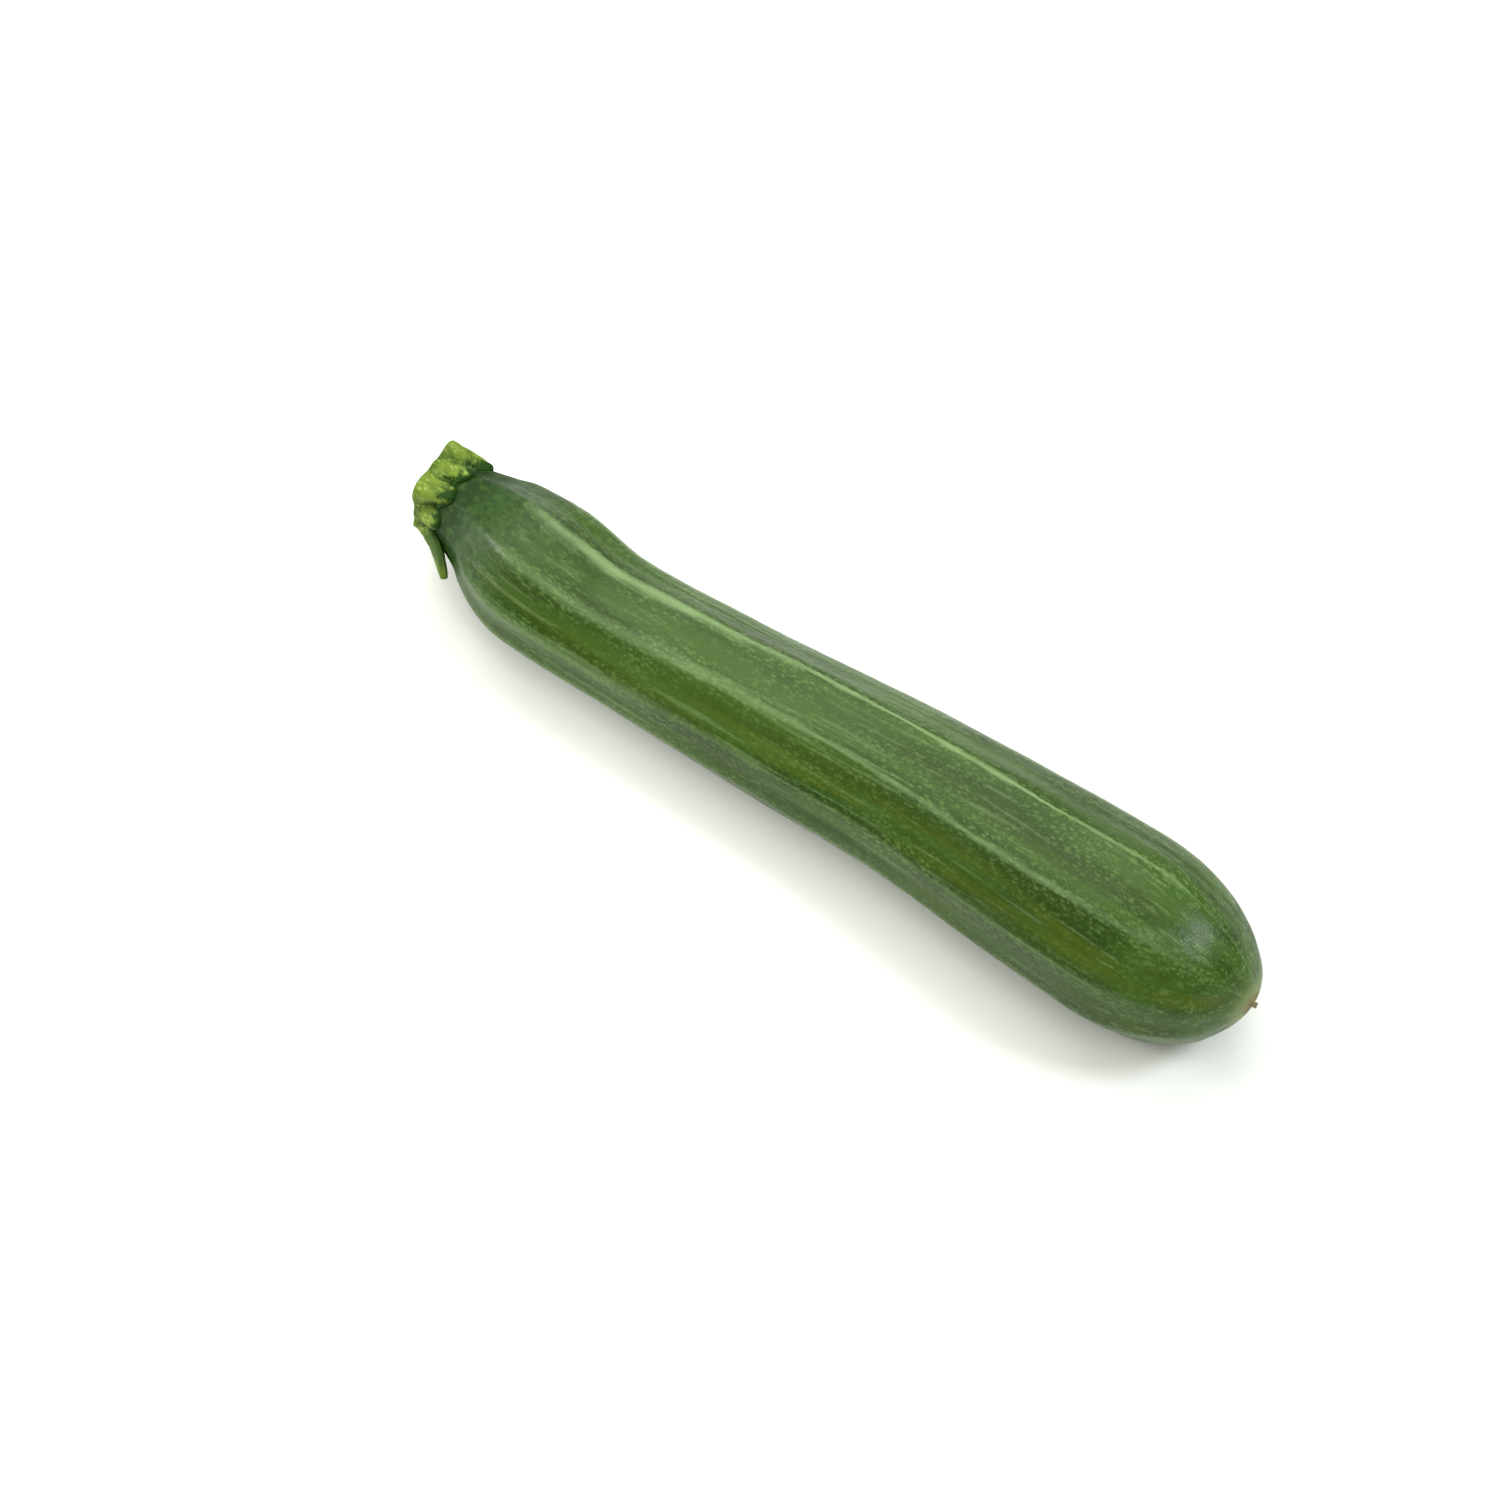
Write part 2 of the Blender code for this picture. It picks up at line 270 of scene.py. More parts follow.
# Colours of the stem
RIB_COLOUR = (0.155, 0.226, 0.024)
# The furrows' and the feet ends' greens are partly painted shade between and past the ribs
FURROW_GREEN_AND_SHADE = (0.044, 0.088, 0.005)
FOOT_GREEN_AND_SHADE = (0.011, 0.044, 0.001)
STRIP_COLOUR = (0.045, 0.095, 0.014)
CUT_MIDDLE = (0.470, 0.560, 0.230)
CUT_FLESH = (0.240, 0.330, 0.080)
CUT_RIM = (0.095, 0.165, 0.018)
BUNDLE_COLOUR = (0.340, 0.460, 0.120)
HAIR_COLOUR = (0.520, 0.640, 0.300)

# How many finer layers a noise has
DETAIL = 2.0
FINE_DETAIL = 3.0
FINEST_DETAIL = 4.0

# Patches of the skin's noises: their length along the zucchini and their width across it
BAND_PATCH = (0.060, 0.0045)
STREAK_PATCH = (0.035, 0.0030)
FINE_STREAK_PATCH = (0.045, 0.0012)
BIG_FLECK_PATCH = (0.0019, 0.0009)
SMALL_FLECK_PATCH = (0.0009, 0.0005)
FLECK_GROUP_PATCH = (0.020, 0.006)
LINE_EDGE_PATCH = (0.010, 0.0020)
LINE_BREAK_PATCH = (0.013, 0.010)
BLOTCH_PATCH = (0.0030, 0.0018)
SMALL_BLOTCH_PATCH = (0.0020, 0.0014)
CORK_PATCH = (0.0008, 0.0008)
WAX_PATCH = (0.012, 0.006)
PORE_PATCH = (0.0009, 0.0005)

# Ramps of the skin: two values, and what the ramp gives at them, which is 0 and 1 if it isn't said
BAND_RAMP = (0.35, 0.65)
STREAK_RAMP = (0.35, 0.70)
OLIVE_BY_DISTANCE = (0.070, 0.170, 0.50, 1.05)
FLECK_RAMP = (0.20, 0.45, 1.0, 0.0)
FLECK_DENSITY = (0.30, 0.70, 0.08, 0.40)
FLECKS_BY_RIDGE = (0.0, 0.40, 0.18, 0.0)
FINE_STREAK_RAMP = (0.56, 0.70, 0.0, 0.16)
# The ridge lines are partly a painted highlight, wider near the stem and fainter towards the tip
LINE_WIDTH = (0.3, 0.7, 0.03, 0.11)
LINE_WIDER_BY_DISTANCE = (0.060, 0.120, 0.13, 0.0)
LINE_START = (0.016, 0.036, 0.0, 0.72)
LINE_END = (0.160, 0.195, 1.0, 0.3)
LINE_STRENGTH = (0.3, 0.7, 0.7, 1.1)
SHOULDER_RAMP = (0.008, 0.030, 0.9, 0.0)
# The neck's dark green, partly painted shade just behind the stem's feet
NECK_SHADE_RAMP = (0.0100, 0.0175, 0.95, 0.0)
BLOTCHES_BY_DISTANCE = (0.020, 0.045, 1.0, 0.0)
PALE_BLOTCH_RAMP = (0.50, 0.66, 0.0, 0.55)
DARK_BLOTCH_RAMP = (0.36, 0.48, 0.60, 0.0)
TIP_RAMP = (0.0010, 0.0060, 0.75, 0.0)
SCAR_RAMP = (0.0006, 0.0014, 1.0, 0.0)
SKIN_ROUGHNESS = (0.3, 0.7, 0.28, 0.38)
NECK_ROUGHER = (0.014, 0.026, 0.30, 0.0)

# Other measures of the skin: the ragged edges are lengths
SMALL_FLECK_PART = 0.7
SHOULDER_RAGGED = -0.016
NECK_RAGGED = -0.006
TIP_RAGGED = -0.004
SCAR_ROUGHER = 0.35
SKIN_SPECULAR = 0.20
SKIN_COAT = 0.03
SKIN_COAT_ROUGHNESS = 0.25
FLECK_BUMP_PART = 0.6
SKIN_BUMP = 0.00004

# Patches of the stem's and the hairs' noises
MOTTLE_PATCH = (0.0026, 0.0016)
SPECK_PATCH = (0.0014, 0.0011)
FIBRE_PATCH = (0.0060, 0.0006)
GRAIN_PATCH = (0.0012, 0.0005)
HAIR_PATCH = (0.002, 0.002)

# Ramps of the stem, as for the skin
SPECK_RAMP = (0.15, 0.45, 1.0, 0.0)
SPECK_DENSITY = (0.35, 0.65, 0.1, 0.6)
RIB_RAMP = (0.05, 0.50)
RIB_MOTTLE = (0.35, 0.65, -0.50, 0.30)
FIBRE_RAMP = (0.55, 0.75, 0.0, 0.25)
FOOT_RAGGED = (0.3, 0.7, 0.18, -0.18)
FOOT_SHADE_RAMP = (1.72, 1.98)
STRIP_ACROSS = (0.05, 0.30)
STRIP_ALONG = (1.25, 1.60)
STRIP_MIDDLE_ACROSS = (0.70, 0.95)
STRIP_MIDDLE_ALONG = (1.3, 1.7, 0.0, 0.6)
CUT_RAGGED = (0.3, 0.7, -0.06, 0.06)
CUT_FLESH_RAMP = (0.05, 0.42)
CUT_RIM_RAMP = (0.80, 0.94)
CUT_END_RAMP = (0.97, 1.02)
STEM_ROUGHNESS = (0.3, 0.7, 0.45, 0.70)

# Other measures of the stem, the hairs and the floor
STEM_SPECULAR = 0.14
STEM_BUMP = 0.00010
HAIR_ROUGHNESS = 0.5
FLOOR_ROUGHNESS = 0.9
FLOOR_SPECULAR = 0.1

# Numbers of the colour mixer's sockets, which share their names with others
MIX_FIRST = 6
MIX_SECOND = 7
MIX_RESULT = 2


def slope_at(points, i):
    """Slope of the smooth curve at one of its points."""
    before = points[max(i - 1, 0)]
    after = points[min(i + 1, len(points) - 1)]
    return (after[1] - before[1]) / (after[0] - before[0])


def smooth(points, distance):
    """Value at a distance on the smooth curve through (distance, value) points."""
    i = 0
    while i < len(points) - 2 and distance > points[i + 1][0]:
        i += 1
    x0, y0 = points[i]
    x1, y1 = points[i + 1]
    span = x1 - x0
    t = min(max((distance - x0) / span, 0.0), 1.0)
    start = (1 + 2 * t) * (1 - t) ** 2 * y0 + t * (1 - t) ** 2 * span * slope_at(points, i)
    end = t * t * (3 - 2 * t) * y1 - t * t * (1 - t) * span * slope_at(points, i + 1)
    return start + end


def ease(t):
    """Smooth step from 0 to 1."""
    t = min(max(t, 0.0), 1.0)
    return t * t * (3 - 2 * t)


def centre(distance):
    """Middle line of the zucchini, without the shift of the tip."""
    middle = min(max(distance, SHOULDER_AT), WIDEST_AT)
    below = smooth(RADIUS_AT, middle) * (1 - smooth(FURROW_DEPTH_AT, middle))
    off_middle = (distance - BELLY_MIDDLE) / BELLY_HALF_LENGTH
    height = below - BELLY_PRESSED * (1 - off_middle**2)
    return Vector((distance, smooth(SIDEWAYS_AT, distance), height))


def directions(distance):
    """Unit vectors up from the middle line and from it towards -Y."""
    step = 0.0005
    along = (centre(distance + step) - centre(distance - step)).normalized()
    up = Vector((0, 0, 1)) - along * along.z
    up.normalize()
    return up, along.cross(up)


def tip_shift(distance):
    """The blossom end leans to one side, so that its scar is off the middle line."""
    past = max(distance - WIDEST_AT, 0.0) / (FRUIT_END - WIDEST_AT)
    return TIP_SHIFT * min(past, 1.0) ** TIP_SHIFT_POWER


def point_at(distance, radius, angle):
    """Point at a radius and an angle round the middle line."""
    up, side = directions(distance)
    outward = up * cos(radians(angle)) + side * sin(radians(angle))
    return centre(distance) + tip_shift(distance) - MIDDLE + outward * radius


def angle_at_position(position):
    """The angle that lies a number of ridges past the first one."""
    count = len(RIDGE_ANGLES)
    i = floor(position)
    start = RIDGE_ANGLES[i % count]
    width = (RIDGE_ANGLES[(i + 1) % count] - start) % 360
    return start + width * (position - i)


def from_ridge(position):
    """Part of the way from the nearest ridge to the next one."""
    t = position - floor(position)
    return min(t, 1 - t)


def ridge_factor(distance, position):
    """Part of the full radius that the skin has between and on the ridges."""
    i = floor(position)
    rounded = sqrt(from_ridge(position) ** 2 + RIDGE_SHARPNESS**2) - RIDGE_SHARPNESS
    hollow = 4 * rounded * (1 - rounded)
    count = len(RIDGE_HEIGHTS)
    here = RIDGE_HEIGHTS[i % count]
    there = RIDGE_HEIGHTS[(i + 1) % count]
    crest = here + (there - here) * ease(position - i)
    return crest * (1 - smooth(FURROW_DEPTH_AT, distance) * hollow)


def ridge_paleness_and_sheen(position):
    """How pale the line on the nearest ridges is, with a painted sheen on it."""
    i = floor(position)
    here = RIDGE_PALENESS_AND_SHEEN[i % len(RIDGE_PALENESS_AND_SHEEN)]
    there = RIDGE_PALENESS_AND_SHEEN[(i + 1) % len(RIDGE_PALENESS_AND_SHEEN)]
    return here + (there - here) * ease(position - i)


def facet_olive(position):
    """How olive the skin is between two ridges, most so past the middle of the facet."""
    i = floor(position)
    t = position - i
    return FACET_OLIVE[i % len(FACET_OLIVE)] * ease(t / OLIVE_RISE) * ease((1 - t) / OLIVE_FALL)


def wander(distance):
    """Degrees that the ridges are turned by, because they don't run quite straight."""
    return RIDGE_WANDER * sin(2 * pi * (distance - BELLY_MIDDLE) / RIDGE_WANDER_LENGTH)


def neck_profile(q):
    """Distance and radius of the fruit near the stem: q is 0 at its middle, 1 past its rounding."""
    turn = pi / 2 * min(q, 1.0)
    past = pi / 2 * NECK_ROUNDING * max(q - 1.0, 0.0)
    distance = FRUIT_START + NECK_ROUNDING * (1 - cos(turn)) + past
    return distance, smooth(RADIUS_AT, distance) * sin(turn)


def neck_q(distance):
    """The q of neck_profile at a distance along the zucchini."""
    along = (distance - FRUIT_START) / NECK_ROUNDING
    if along < 1:
        return acos(1 - along) / (pi / 2)
    return 1 + (along - 1) / (pi / 2)


def scar_rise(radius):
    """Height of the blossom scar at a radius round the tip."""
    return SCAR_HEIGHT * ease((SCAR_RADIUS - radius) / (SCAR_RADIUS - SCAR_TOP_RADIUS))


def fruit_profile():
    """Distances and radii of the fruit's rings, from the stem to the tip."""
    rings = [neck_profile((k + 1) / NECK_RINGS) for k in range(NECK_RINGS)]
    body_start = FRUIT_START + NECK_ROUNDING
    for k in range(1, BODY_RINGS):
        distance = body_start + (WIDEST_AT - body_start) * k / BODY_RINGS
        rings.append((distance, smooth(RADIUS_AT, distance)))
    for k in range(CAP_RINGS + 1):
        turn = pi / 2 * k / (CAP_RINGS + 1)
        distance = WIDEST_AT + (FRUIT_END - WIDEST_AT) * sin(turn) ** (2 / END_BLUNTNESS)
        radius = smooth(RADIUS_AT, distance) * cos(turn) ** (2 / END_BLUNTNESS)
        rings.append((distance, radius))
    last_radius = rings[-1][1]
    for k in range(1, SCAR_RINGS):
        radius = min(last_radius, SCAR_RADIUS) * (1 - k / SCAR_RINGS)
        rings.append((FRUIT_END + scar_rise(radius), radius))
    return rings


def closed_object(name, start, rings, end, flat_place, material):
    """One closed object from a first point, rings of points and a last point.

    flat_place gives the place of a corner on the flat map of the surface, from the number of
    its strip of faces, its row and its part of the way round.
    """
    count = len(rings[0])
    points = [start]
    for ring in rings:
        points.extend(ring)
    points.append(end)
    last_row = len(rings) + 1

    def point_number(row, column):
        if row == 0:
            return 0
        if row == last_row:
            return len(points) - 1
        return 1 + (row - 1) * count + column % count

    faces = []
    places = []
    for strip_number in range(last_row):
        for column in range(count):
            corners = (
                (strip_number, column + 1),
                (strip_number + 1, column + 1),
                (strip_number + 1, column),
                (strip_number, column),
            )
            if strip_number == 0:
                corners = corners[:3]
            elif strip_number == last_row - 1:
                corners = (corners[0], corners[1], corners[3])
            faces.append([point_number(row, place) for row, place in corners])
            places.extend(flat_place(strip_number, row, place / count) for row, place in corners)
    data = bpy.data.meshes.new(name)
    data.from_pydata(points, [], faces)
    layer = data.uv_layers.new(name="OFBake")
    layer.data.foreach_set("uv", [value for place in places for value in place])
    data.materials.append(material)
    data.shade_smooth()
    made = bpy.data.objects.new(name, data)
    bpy.context.scene.collection.objects.link(made)
    return made


def keep_numbers(item, name, values):
    """Stores one number per point of an object for its material."""
    layer = item.data.attributes.new(name, "FLOAT", "POINT")
    layer.data.foreach_set("value", values)


def keep_vectors(item, name, values):
    """Stores one vector per point of an object for its material."""
    layer = item.data.attributes.new(name, "FLOAT_VECTOR", "POINT")
    layer.data.foreach_set("vector", [part for value in values for part in value])


def raise_points(item, heights):
    """Moves each point of an object outwards by its height, and none below the floor."""
    outward = [normal.vector.copy() for normal in item.data.vertex_normals]
    for vertex, normal, height in zip(item.data.vertices, outward, heights):
        vertex.co += normal * height
        vertex.co.z = max(vertex.co.z, 0.0)
    item.data.update()


def positions_round():
    """Places of the ring points, counted in ridges past the first one."""
    return [k / STEPS_PER_RIDGE for k in range(len(RIDGE_ANGLES) * STEPS_PER_RIDGE)]


def stretched_noise(spot, length, width):
    """Smooth noise with patches of this length along the zucchini and this width across it."""
    return noise.noise(Vector((spot[0] / length, spot[1] / width, spot[2] / width)))


def scar_relief(spot, from_tip):
    """Height of the blossom scar's cork: a fine grain, and a shallow ring round it."""
    grain = SCAR_GRAIN_HEIGHT * stretched_noise(spot, SCAR_GRAIN_SIZE, SCAR_GRAIN_SIZE)
    ring = SCAR_RING_DEPTH * ease(1 - abs(from_tip - SCAR_RING_RADIUS) / SCAR_RING_WIDTH)
    return grain * ease((SCAR_RADIUS - from_tip) / SCAR_TOP_RADIUS) - ring


def fruit_relief(spot, distance, from_tip):
    """Height of the fruit's skin over its smooth ridged shape."""
    lumps = LUMP_HEIGHT * stretched_noise(spot, LUMP_LENGTH, LUMP_WIDTH)
    creases = CREASE_HEIGHT * stretched_noise(spot, CREASE_LENGTH, CREASE_WIDTH)
    dimples = DIMPLE_HEIGHT * stretched_noise(spot, DIMPLE_SIZE, DIMPLE_SIZE)
    fade = ease((distance - RELIEF_FROM) / (RELIEF_FULL - RELIEF_FROM))
    fade *= ease((from_tip - SCAR_RADIUS) / SCAR_RADIUS)
    return (lumps + creases + dimples) * fade + scar_relief(spot, from_tip)


def make_fruit(material):
    """The fruit with its ridges, rounded ends and blossom scar, and a flat on its belly."""
    profile = fruit_profile()
    positions = positions_round()
    angles = [angle_at_position(position) for position in positions]
    ring_count = len(profile)
    rings = []
    spots = [(FRUIT_START, 0.0, 0.0)]
    off_ridge = [0.0]
    paleness_and_sheen = [0.0]
    olives = [0.0]
    from_tips = [FRUIT_END]
    heights = [0.0]
    for distance, radius in profile:
        up, side = directions(distance)
        middle = centre(distance) + tip_shift(distance) - MIDDLE
        turned = wander(distance)
        from_tip = hypot(max(FRUIT_END - distance, 0.0), radius)
        ring = []
        for position, angle in zip(positions, angles):
            reach = radius * ridge_factor(distance, position)
            turn = radians(angle + turned)
            ring.append(middle + (up * cos(turn) + side * sin(turn)) * reach)
            spot = (distance, reach * cos(turn), reach * sin(turn))
            spots.append(spot)
            off_ridge.append(from_ridge(position))
            paleness_and_sheen.append(ridge_paleness_and_sheen(position))
            olives.append(facet_olive(position))
            from_tips.append(from_tip)
            heights.append(fruit_relief(spot, distance, from_tip))
        rings.append(ring)
    spots.append((FRUIT_END + SCAR_HEIGHT, 0.0, 0.0))
    off_ridge.append(0.0)
    paleness_and_sheen.append(0.0)
    olives.append(0.0)
    from_tips.append(0.0)
    heights.append(0.0)

    def flat_place(_, row, part):
        return row / (ring_count + 1), part

    start = point_at(FRUIT_START, 0, 0)
    end = point_at(FRUIT_END + SCAR_HEIGHT, 0, 0)
    fruit = closed_object("fruit_skin", start, rings, end, flat_place, material)
    keep_vectors(fruit, "straight", spots)
    keep_numbers(fruit, "off_ridge", off_ridge)
    keep_numbers(fruit, "paleness_and_sheen", paleness_and_sheen)
    keep_numbers(fruit, "olive", olives)
    keep_numbers(fruit, "from_tip", from_tips)
    raise_points(fruit, heights)
    return fruit


def strong_rib(position):
    """1 on a strong rib of the stem, 0 on a weak one."""
    return 0.5 + 0.5 * cos(radians(180 * position))


def any_rib(position):
    """1 on a strong or weak rib of the stem, 0 in the furrow between two ribs."""
    return 0.5 + 0.5 * cos(radians(360 * position))


def rib_at_cut(position):
    """Height of the ribs round the cut face, from 0 in the furrows to 1."""
    weak = WEAK_RIB_AT_CUT * any_rib(position) * (1 - strong_rib(position))
    return strong_rib(position) ** RIB_NARROWNESS + weak


def rib_at_foot(position):
    """Height of the ribs where they end on the fruit, from 0 in the furrows to 1."""
    weakness = (1 - WEAK_RIB_AT_FOOT) * (1 - strong_rib(position))
    return any_rib(position) * (1 - weakness)


def strip(angle):
    """1 in the middle of the loose strip of stem skin, 0 beside it."""
    off = abs((angle - STRIP_ANGLE + 180) % 360 - 180)
    return ease(1 - off / STRIP_HALF_WIDTH)


def stem_reach(position):
    """Distance along the zucchini of the end of the stem's side."""
    feet = (FOOT_REACH - FURROW_REACH) * rib_at_foot(position) ** FOOT_BLUNTNESS
    return FURROW_REACH + feet + STRIP_LONGER * strip(angle_at_position(position))


def stem_edge(position):
    """Height of the stem over the fruit where its side ends."""
    return FURROW_EDGE + (FOOT_EDGE - FURROW_EDGE) * rib_at_foot(position)


def foot_point(position, part, clearance, beyond=0.0):
    """Distance, radius and angle just outside the fruit, a part of the way to the stem's end."""
    q = neck_q(stem_reach(position) + beyond) * part
    step = 0.02
    distance, radius = neck_profile(q)
    ahead, wider = neck_profile(q + step)
    run = ahead - distance
    rise = wider - radius
    away = clearance / hypot(run, rise)
    factor = ridge_factor(distance, position)
    angle = angle_at_position(position) + wander(distance)
    return distance - rise * away, radius * factor + run * away, angle


def stem_side_point(position, part):
    """Point on the stem's side: part is 0 at the cut face and 1 where the side ends."""
    foot_distance, foot_radius, foot_angle = foot_point(position, 1.0, stem_edge(position))
    angle = foot_angle + STEM_TWIST * (1 - part)
    peeled = strip(angle_at_position(position))
    width = (STEM_RIB_RADIUS - STEM_FURROW_RADIUS) * (1 - peeled)
    cut_radius = STEM_FURROW_RADIUS + width * rib_at_cut(position)
    flare = part ** (STEM_FLARE_POWER + (STRIP_FLARE_POWER - STEM_FLARE_POWER) * peeled)
    radius = cut_radius + (foot_radius - cut_radius) * flare
    slant = CUT_SLANT * cut_radius / STEM_RIB_RADIUS
    cut_turn = foot_angle + STEM_TWIST - CUT_SLANT_ANGLE
    cut_distance = CUT_PLACE + slant * cos(radians(cut_turn))
    distance = cut_distance + (foot_distance - cut_distance) * part
    return point_at(distance, radius + STRIP_LIFT * peeled * part, angle)


def stem_corner_point(position, turn, middle):
    """Point on the rounded corner between the cut face (turn 0) and the side (turn 90)."""
    corner = stem_side_point(position, 0)
    inward = (middle - corner).normalized() * STEM_CORNER
    sideways = (stem_side_point(position, CORNER_PART) - corner).normalized() * STEM_CORNER
    return corner + inward * (1 - sin(radians(turn))) + sideways * (1 - cos(radians(turn)))


def foot_edge_point(position, turn):
    """Point on the rounded end of the stem's side, from its top (turn 0) to the skin (turn 90)."""
    clearance = (stem_edge(position) + STEM_SINK) * cos(radians(turn)) - STEM_SINK
    beyond = FOOT_ROUNDING * sin(radians(turn))
    distance, radius, angle = foot_point(position, 1.0, clearance, beyond)
    peeled = strip(angle_at_position(position))
    return point_at(distance, radius + STRIP_LIFT * peeled, angle)


def stem_foot_point(position, part):
    """Point of the stem's underside, which has grown into the fruit where it isn't loose."""
    distance, radius, angle = foot_point(position, part, -STEM_SINK, FOOT_ROUNDING)
    peeled = strip(angle_at_position(position))
    loose = ease((part - STRIP_LOOSE_FROM) / (1 - STRIP_LOOSE_FROM))
    return point_at(distance, radius + STRIP_LIFT * peeled * loose, angle)


def bundle(position, part):
    """1 in the middle of a vessel bundle of the cut face, 0 beside the bundles."""
    turn = 2 * pi * position / len(RIDGE_ANGLES)
    spacing = 2 * pi / BUNDLES
    nearest = round(turn / spacing) * spacing
    across = part * cos(turn) - BUNDLE_PLACE * cos(nearest)
    upward = part * sin(turn) - BUNDLE_PLACE * sin(nearest)
    return ease(1 - hypot(across, upward) / BUNDLE_SIZE)


def cut_relief(position, part):
    """Height of the cut face: it has dried a little, so the flesh lies lower than the rind."""
    hollow = CUT_HOLLOW * ease((1 - part) / CUT_HOLLOW_RISE)
    lip = CUT_LIP * ease(1 - abs(part - CUT_LIP_PLACE) / CUT_LIP_WIDTH)
    return lip - hollow + BUNDLE_HEIGHT * bundle(position, part)


def stem_side_relief(point, position, part):
    """Height of the fibres and knobs on the stem's side over its smooth shape."""
    turn = 2 * pi * position / len(RIDGE_ANGLES)
    round_place = Vector((point.x, STEM_RIB_RADIUS * cos(turn), STEM_RIB_RADIUS * sin(turn)))
    fibres = FIBRE_HEIGHT * stretched_noise(round_place, FIBRE_LENGTH, FIBRE_WIDTH)
    knobs = KNOB_HEIGHT * stretched_noise(point, KNOB_SIZE, KNOB_SIZE)
    fade = ease(part / SIDE_RELIEF_START) * ease((SIDE_RELIEF_END - part) / SIDE_RELIEF_FADE)
    return (fibres + knobs) * fade


def stem_rows():
    """Rows of the stem's surface: their kind, and their part of the way over that kind."""
    rows = [("cut", k / CUT_RINGS) for k in range(1, CUT_RINGS)]
    rows += [("corner", k / CORNER_RINGS) for k in range(CORNER_RINGS + 1)]
    side_part = 1 - CORNER_PART
    rows += [("side", CORNER_PART + side_part * k / STEM_RINGS) for k in range(STEM_RINGS + 1)]
    rows += [("edge", k / EDGE_RINGS) for k in range(1, EDGE_RINGS + 1)]
    rows += [("foot", k / FOOT_RINGS) for k in range(FOOT_RINGS - 1, 0, -1)]
    return rows


def stem_surface(kind, part, position, start):
    """A place of the stem's surface: its point, its zone, its relief's height and its rib's."""
    at_cut = rib_at_cut(position)
    at_foot = rib_at_foot(position)
    if kind == "cut":
        rim = stem_corner_point(position, 0, start)
        return start.lerp(rim, part), ZONE_CORNER * part, cut_relief(position, part), at_cut
    if kind == "corner":
        zone = ZONE_CORNER + (ZONE_SIDE - ZONE_CORNER) * part
        return stem_corner_point(position, 90 * part, start), zone, 0.0, at_cut
    if kind == "side":
        point = stem_side_point(position, part)
        zone = ZONE_SIDE + (ZONE_EDGE - ZONE_SIDE) * part
        height = stem_side_relief(point, position, part)
        return point, zone, height, at_cut + (at_foot - at_cut) * part
    if kind == "edge":
        zone = ZONE_EDGE + (ZONE_UNDER - ZONE_EDGE) * part
        return foot_edge_point(position, 90 * part), zone, 0.0, at_foot
    zone = ZONE_END + (ZONE_UNDER - ZONE_END) * part
    return stem_foot_point(position, part), zone, 0.0, at_cut


def in_box(box, across, over):
    """Place on a flat map that is these parts of the way across and up a box."""
    left, bottom, width, height = box
    return left + width * across, bottom + height * over


def make_stem(material):
    """The cut stub of the stem with its ribs, their feet and the cut face."""
    positions = positions_round()
    rows = stem_rows()
    start = point_at(CUT_PLACE, 0, 0)
    end = point_at(FRUIT_START + STEM_SINK, 0, 0)
    rings = []
    heights = [-CUT_HOLLOW]
    zones = [0.0]
    ribs = [1.0]
    peels = [0.0]
    for kind, part in rows:
        ring = []
        for position in positions:
            point, zone, height, rib = stem_surface(kind, part, position, start)
            ring.append(point)
            zones.append(zone)
            heights.append(height)
            ribs.append(rib)
            peels.append(strip(angle_at_position(position)))
        rings.append(ring)
    heights.append(0.0)
    zones.append(ZONE_END)
    ribs.append(1.0)
    peels.append(0.0)
    kinds = ["cut"] + [kind for kind, _ in rows] + ["foot"]
    first_side = kinds.index("side")
    first_foot = kinds.index("foot")

    def flat_place(strip_number, row, part):
        if strip_number < first_side:
            reach = MAP_CUT_RADIUS * row / first_side
            across = MAP_CUT_MIDDLE + reach * cos(2 * pi * part)
            return across, MAP_CUT_MIDDLE + reach * sin(2 * pi * part)
        if strip_number < first_foot:
            over = (row - first_side) / (first_foot - first_side)
            return in_box(MAP_SIDE, part, over)
        over = (row - first_foot) / (len(kinds) - 1 - first_foot)
        return in_box(MAP_UNDER, part, over)

    stem = closed_object("stem_stub", start, rings, end, flat_place, material)
    keep_numbers(stem, "zone", zones)
    keep_numbers(stem, "rib", ribs)
    keep_numbers(stem, "peel", peels)
    raise_points(stem, heights)
    return stem


def make_hairs(material):
    """Short stiff hairs all over the stem's side, rooted in it."""
    chance = random.Random(HAIR_SEED)
    aside = 0.05
    onwards = 0.03
    points = []
    faces = []
    for _ in range(HAIR_COUNT):
        position = chance.uniform(0, len(RIDGE_ANGLES))
        part = chance.uniform(*HAIR_PLACES)
        root = stem_side_point(position, part)
        across = stem_side_point(position + aside, part) - root
        along = stem_side_point(position, min(part + onwards, 1.0)) - root
        outward = across.cross(along).normalized()
        if outward.dot(root - point_at(FRUIT_START, 0, 0)) < 0:
            outward = -outward
        lean = Vector((chance.uniform(-1, 1), chance.uniform(-1, 1), chance.uniform(-1, 1)))
        grows = (outward + lean * HAIR_LEAN).normalized()
        side = grows.orthogonal().normalized() * HAIR_RADIUS
        other = grows.cross(side)
        base = root - grows * HAIR_ROOT
        first = len(points)
        for turn in (0, 120, 240):
            points.append(base + side * cos(radians(turn)) + other * sin(radians(turn)))
        points.append(root + grows * chance.uniform(*HAIR_LENGTHS))
        faces.append((first, first + 2, first + 1))
        for i in range(3):
            faces.append((first + i, first + (i + 1) % 3, first + 3))
    data = bpy.data.meshes.new("stem_hairs")
    data.from_pydata(points, [], faces)
    data.materials.append(material)
    data.shade_smooth()
    made = bpy.data.objects.new("stem_hairs", data)
    bpy.context.scene.collection.objects.link(made)
    return made


